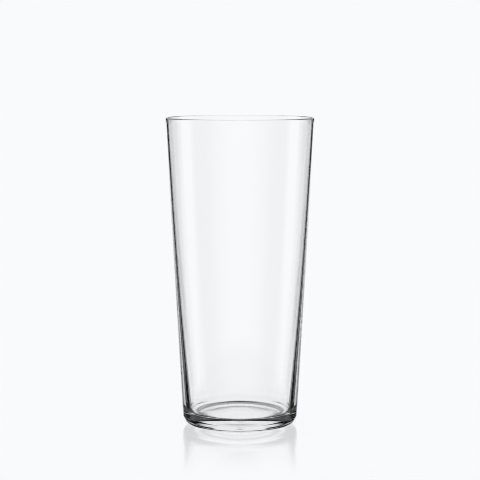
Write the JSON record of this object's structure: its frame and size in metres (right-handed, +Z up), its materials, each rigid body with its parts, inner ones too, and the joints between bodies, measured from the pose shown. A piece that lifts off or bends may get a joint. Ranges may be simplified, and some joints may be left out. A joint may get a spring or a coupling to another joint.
{
  "type": "iced coffee glass",
  "caption": "Tall tapered tumbler of clear glass with a thin rounded rim, a wall that thickens downwards and a heavy base with a rounded heel, for iced coffee and other cold drinks.",
  "frame": {"origin": "centre of the standing ring, on the level that the glass stands on", "axes": "+Z up along the axis of the glass, towards the rim; X and Y are alike because the glass is round"},
  "size_m": [0.077, 0.077, 0.16],
  "materials": {
    "clear_glass": "clear colourless soda-lime glass, fire-polished"
  },
  "bodies": {
    "root": {"tumbler": "clear_glass"}
  },
  "joints": []
}
